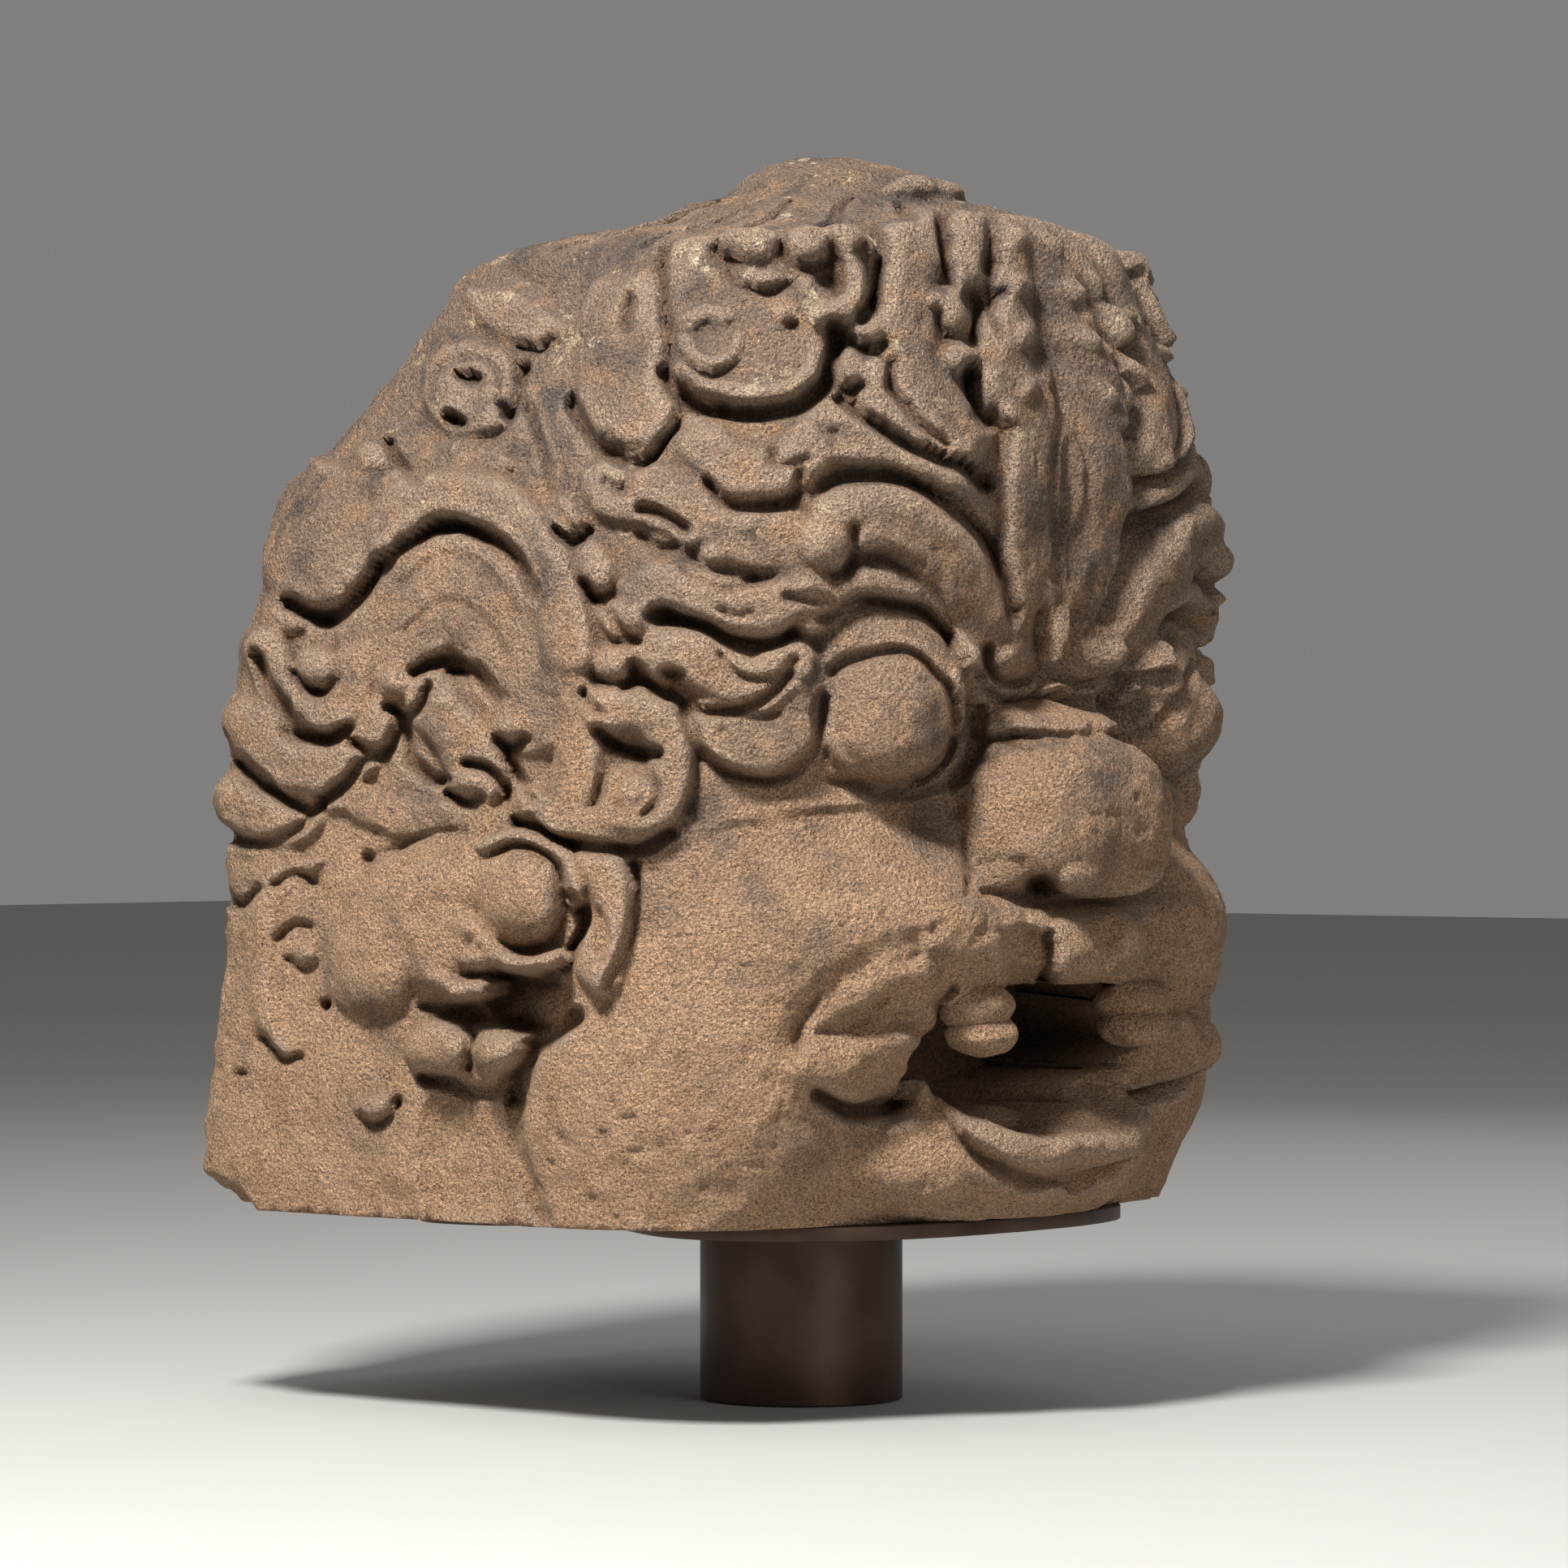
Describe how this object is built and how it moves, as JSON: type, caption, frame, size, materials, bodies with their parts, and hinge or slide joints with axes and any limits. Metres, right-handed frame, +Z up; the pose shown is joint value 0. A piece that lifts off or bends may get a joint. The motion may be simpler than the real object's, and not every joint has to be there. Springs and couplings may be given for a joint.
{
  "type": "carved stone lion head",
  "caption": "Weathered stone lion head with curled mane, bulging eyes and open mouth, held on a metal cradle plate and post.",
  "frame": {"origin": "centre of the flat foot of the support post, on the surface it stands on", "axes": "+Z up along the post's axis, the lion's face looks along -Y, +X to the lion's left"},
  "size_m": [0.6646, 0.6309, 0.8613],
  "materials": {
    "weathered_stone": "rough, pitted, dirt in the hollows",
    "bronzed_steel": "dark brown patina, satin"
  },
  "bodies": {
    "root": {"stone_head": "weathered_stone", "cradle_plate": "bronzed_steel", "support_post": "bronzed_steel"}
  },
  "joints": []
}
